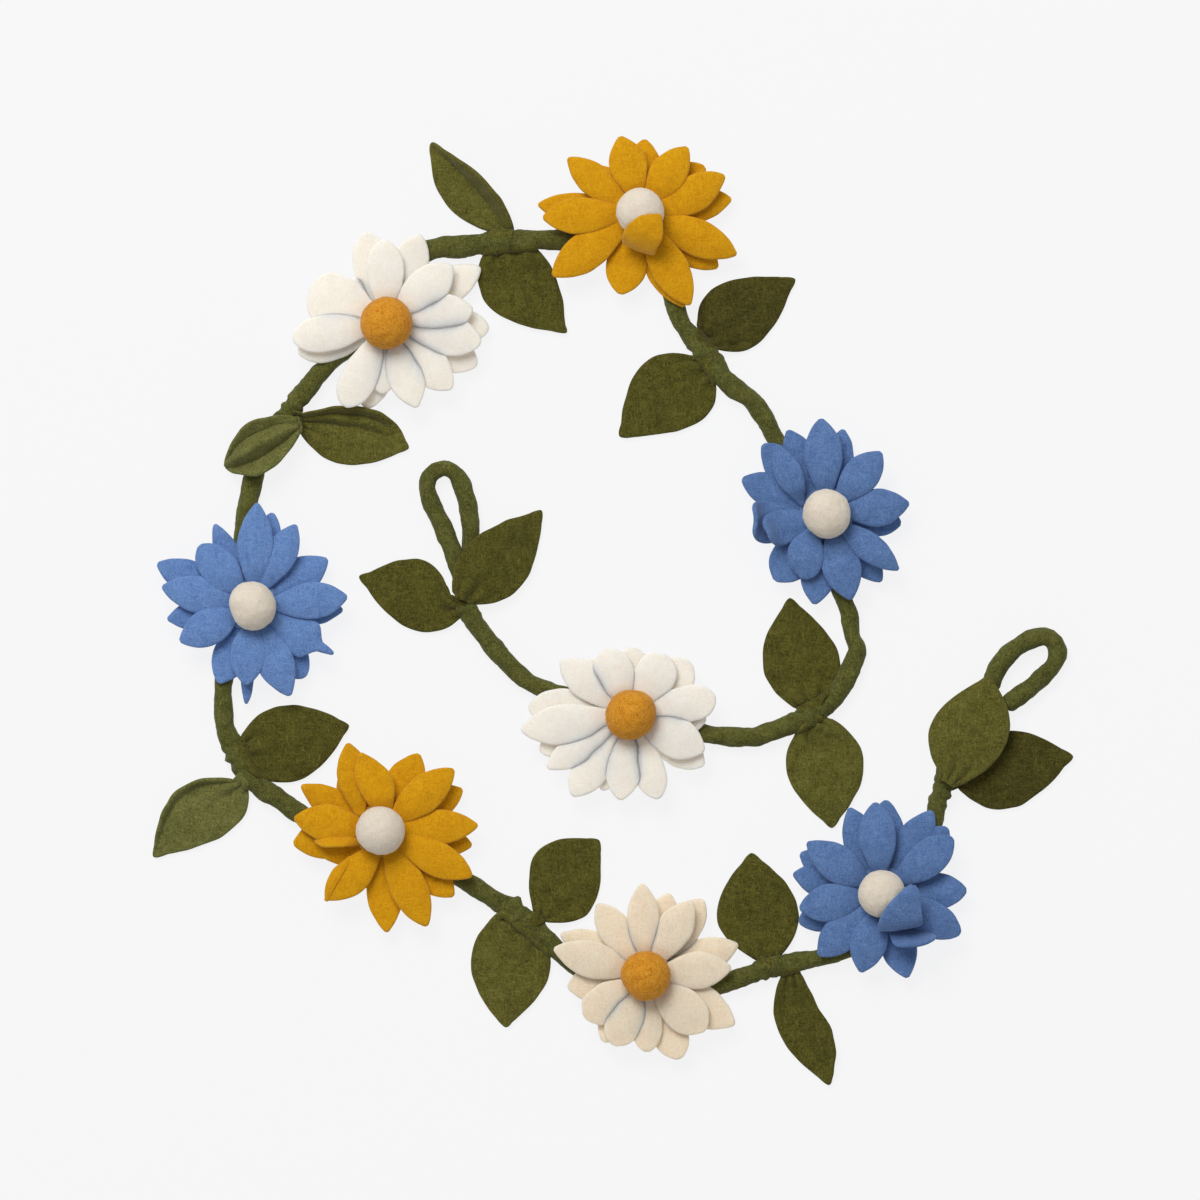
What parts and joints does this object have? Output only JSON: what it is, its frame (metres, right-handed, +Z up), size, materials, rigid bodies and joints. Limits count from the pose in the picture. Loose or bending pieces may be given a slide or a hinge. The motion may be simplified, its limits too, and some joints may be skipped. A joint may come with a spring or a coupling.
{
  "type": "felt flower garland",
  "caption": "Felt flower garland: a felted wool vine with a hanging loop at each end, carrying layered felt flowers with ball centres and pairs of pointed leaves, laid in an open spiral.",
  "frame": {"origin": "on the table, under the middle of the garland's outline as it lies", "axes": "+Z up from the table; +Y away from the viewer, up in the picture; +X to the right, towards the outer end loop"},
  "size_m": [0.4779, 0.493, 0.0414],
  "materials": {
    "vine_felt": "matt, felted wool rope, fuzzy",
    "leaf_felt": "matt, felted wool sheet, fuzzy",
    "yellow_felt": "matt, felted wool sheet, fuzzy",
    "blue_felt": "matt, felted wool sheet, fuzzy",
    "white_felt": "matt, felted wool sheet, fuzzy",
    "cream_felt": "matt, felted wool ball",
    "orange_felt": "matt, felted wool ball, streaked"
  },
  "bodies": {
    "root": {"blue_flower_1_back": "blue_felt", "blue_flower_1_ball": "cream_felt", "blue_flower_1_front": "blue_felt", "blue_flower_2_back": "blue_felt", "blue_flower_2_ball": "cream_felt", "blue_flower_2_front": "blue_felt", "blue_flower_3_back": "blue_felt", "blue_flower_3_ball": "cream_felt", "blue_flower_3_front": "blue_felt", "end_loop_inner": "vine_felt", "end_loop_outer": "vine_felt", "leaf_01": "leaf_felt", "leaf_02": "leaf_felt", "leaf_03": "leaf_felt", "leaf_04": "leaf_felt", "leaf_05": "leaf_felt", "leaf_06": "leaf_felt", "leaf_07": "leaf_felt", "leaf_08": "leaf_felt", "leaf_09": "leaf_felt", "leaf_10": "leaf_felt", "leaf_11": "leaf_felt", "leaf_12": "leaf_felt", "leaf_13": "leaf_felt", "leaf_14": "leaf_felt", "leaf_15": "leaf_felt", "leaf_16": "leaf_felt", "leaf_17": "leaf_felt", "leaf_18": "leaf_felt", "vine": "vine_felt", "white_flower_1_back": "white_felt", "white_flower_1_ball": "orange_felt", "white_flower_1_front": "white_felt", "white_flower_2_back": "white_felt", "white_flower_2_ball": "orange_felt", "white_flower_2_front": "white_felt", "white_flower_3_back": "white_felt", "white_flower_3_ball": "orange_felt", "white_flower_3_front": "white_felt", "yellow_flower_1_back": "yellow_felt", "yellow_flower_1_ball": "cream_felt", "yellow_flower_1_front": "yellow_felt", "yellow_flower_2_back": "yellow_felt", "yellow_flower_2_ball": "cream_felt", "yellow_flower_2_front": "yellow_felt"}
  },
  "joints": []
}
